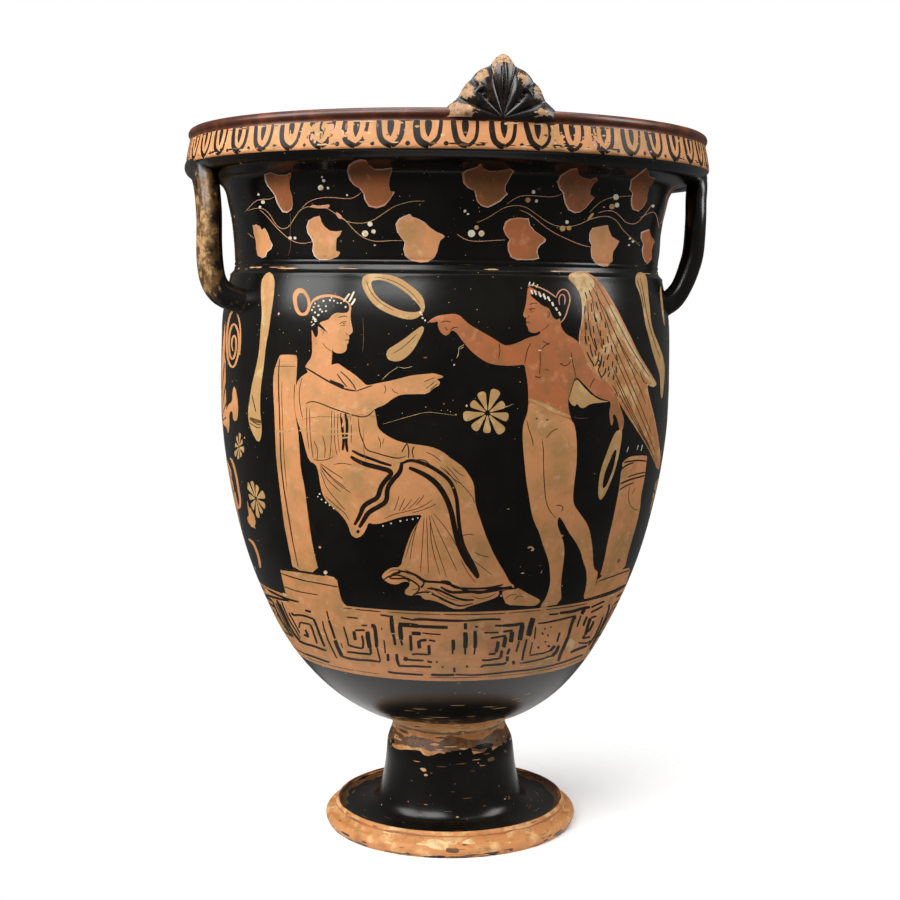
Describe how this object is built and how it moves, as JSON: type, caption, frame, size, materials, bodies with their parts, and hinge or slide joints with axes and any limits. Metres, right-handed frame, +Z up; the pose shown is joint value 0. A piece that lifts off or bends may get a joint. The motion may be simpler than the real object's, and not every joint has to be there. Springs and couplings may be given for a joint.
{
  "type": "bell krater",
  "caption": "Fired clay mixing bowl: bell-shaped body with an open mouth, two upright loop handles, palmette ornaments on the rim and a moulded foot on a short stem.",
  "frame": {"origin": "middle of the base, on the plane the foot rests on", "axes": "+Z up along the foot's axis, -Y towards the front of the painted scene, the handles at +X and -X"},
  "size_m": [0.3776, 0.377, 0.5398],
  "materials": {
    "krater": "glossy black slip over fired orange clay, with worn edges"
  },
  "bodies": {
    "root": {"bell_krater": "krater"}
  },
  "joints": []
}
